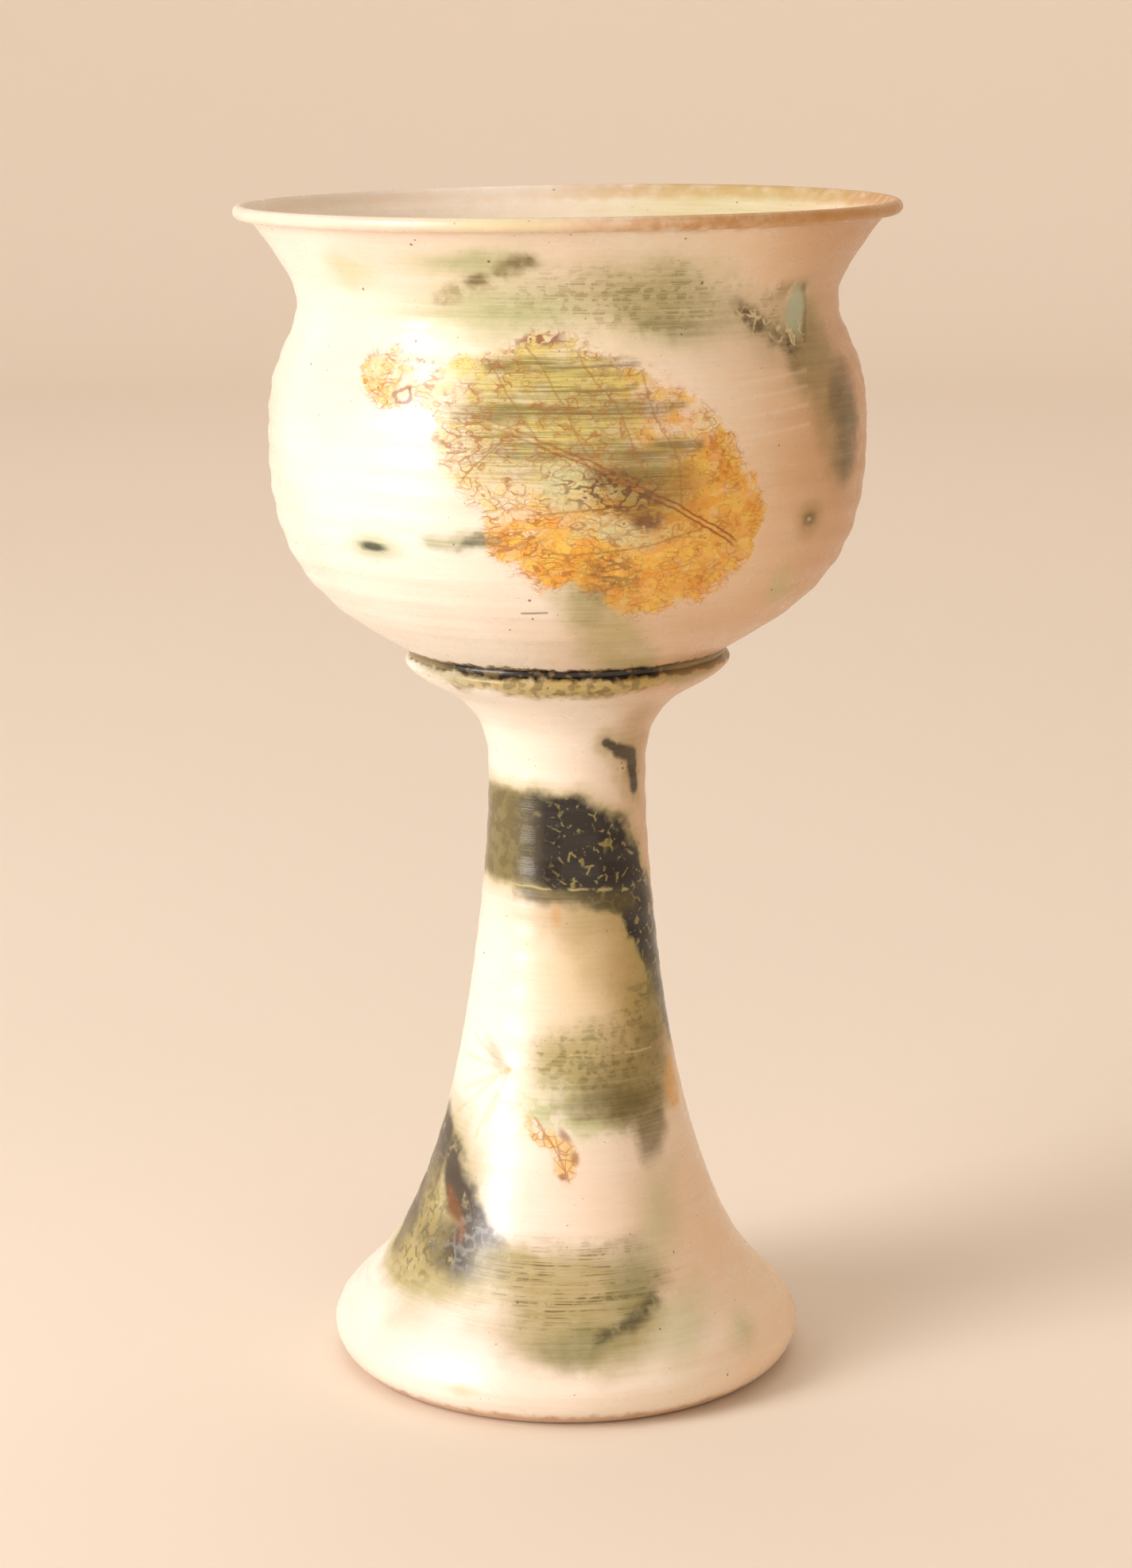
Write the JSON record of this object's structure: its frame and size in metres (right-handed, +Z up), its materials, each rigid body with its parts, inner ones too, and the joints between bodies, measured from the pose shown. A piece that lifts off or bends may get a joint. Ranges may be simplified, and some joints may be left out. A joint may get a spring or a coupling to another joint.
{
  "type": "chalice",
  "caption": "Hand-thrown stoneware goblet: a round bowl with a flared lip, luted with slip to a tall hollow pedestal with a flared foot.",
  "frame": {"origin": "centre of the circle that the foot stands on", "axes": "+Z up along the axis that the chalice was turned about, -Y towards the side with the large leaf print, +X to the right of someone facing that side"},
  "size_m": [0.1276, 0.1276, 0.23],
  "materials": {
    "bowl_glaze": "satin cream glaze with copper green and iron brown brushwork and an ochre leaf print",
    "pedestal_glaze": "satin cream glaze with dark brushed bands, bare clay at the foot ring",
    "joint_glaze": "glossy dark pooled glaze"
  },
  "bodies": {
    "root": {"bowl": "bowl_glaze", "pedestal": "pedestal_glaze", "slip_joint": "joint_glaze"}
  },
  "joints": []
}
